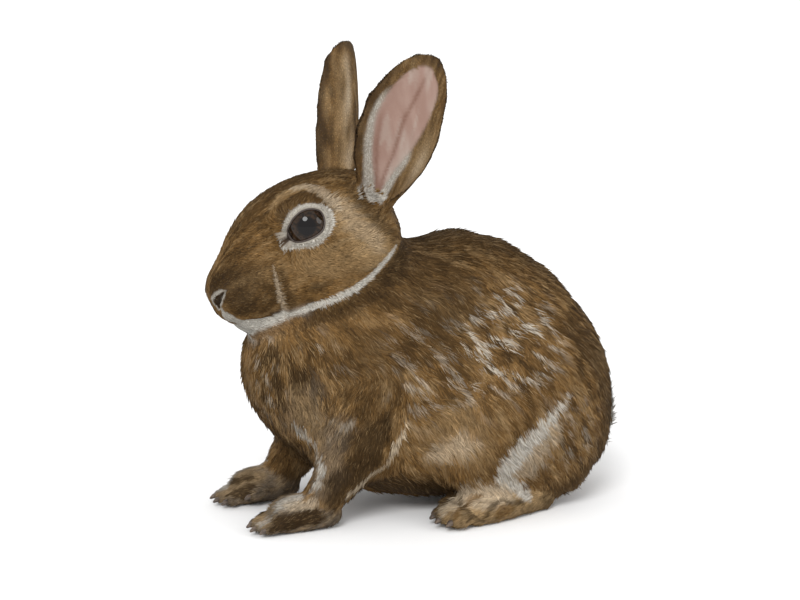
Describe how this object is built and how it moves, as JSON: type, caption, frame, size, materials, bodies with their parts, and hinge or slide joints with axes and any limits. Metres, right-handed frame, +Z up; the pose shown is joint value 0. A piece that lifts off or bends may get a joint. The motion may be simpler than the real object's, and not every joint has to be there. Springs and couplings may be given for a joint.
{
  "type": "rabbit",
  "caption": "Life-size young wild rabbit sitting upright with both ears raised, resting on its four feet, as a still museum model.",
  "frame": {"origin": "on the floor under the middle of the rabbit's box", "axes": "+Z up, the rabbit faces -X, its left side towards -Y"},
  "size_m": [0.2342, 0.1296, 0.2514],
  "materials": {
    "brown_coat": "matt agouti fur, brown with darker and cream tips",
    "pale_coat": "matt cream and tan fur",
    "eye": "wet, dark brown, very glossy",
    "claw": "smooth dark horn, half gloss"
  },
  "bodies": {
    "root": {"head": "brown_coat", "left_ear": "brown_coat", "left_eye": "eye", "left_fore_claw_1": "claw", "left_fore_claw_2": "claw", "left_fore_claw_3": "claw", "left_fore_claw_4": "claw", "left_fore_claw_5": "claw", "left_forefoot": "pale_coat", "left_foreleg": "brown_coat", "left_hind_claw_1": "claw", "left_hind_claw_2": "claw", "left_hind_claw_3": "claw", "left_hind_claw_4": "claw", "left_hind_foot": "pale_coat", "left_thigh": "brown_coat", "lower_jaw": "pale_coat", "neck": "brown_coat", "right_ear": "brown_coat", "right_eye": "eye", "right_fore_claw_1": "claw", "right_fore_claw_2": "claw", "right_fore_claw_3": "claw", "right_fore_claw_4": "claw", "right_fore_claw_5": "claw", "right_forefoot": "pale_coat", "right_foreleg": "brown_coat", "right_hind_claw_1": "claw", "right_hind_claw_2": "claw", "right_hind_claw_3": "claw", "right_hind_claw_4": "claw", "right_hind_foot": "pale_coat", "right_thigh": "brown_coat", "tail": "pale_coat", "trunk": "brown_coat"}
  },
  "joints": []
}
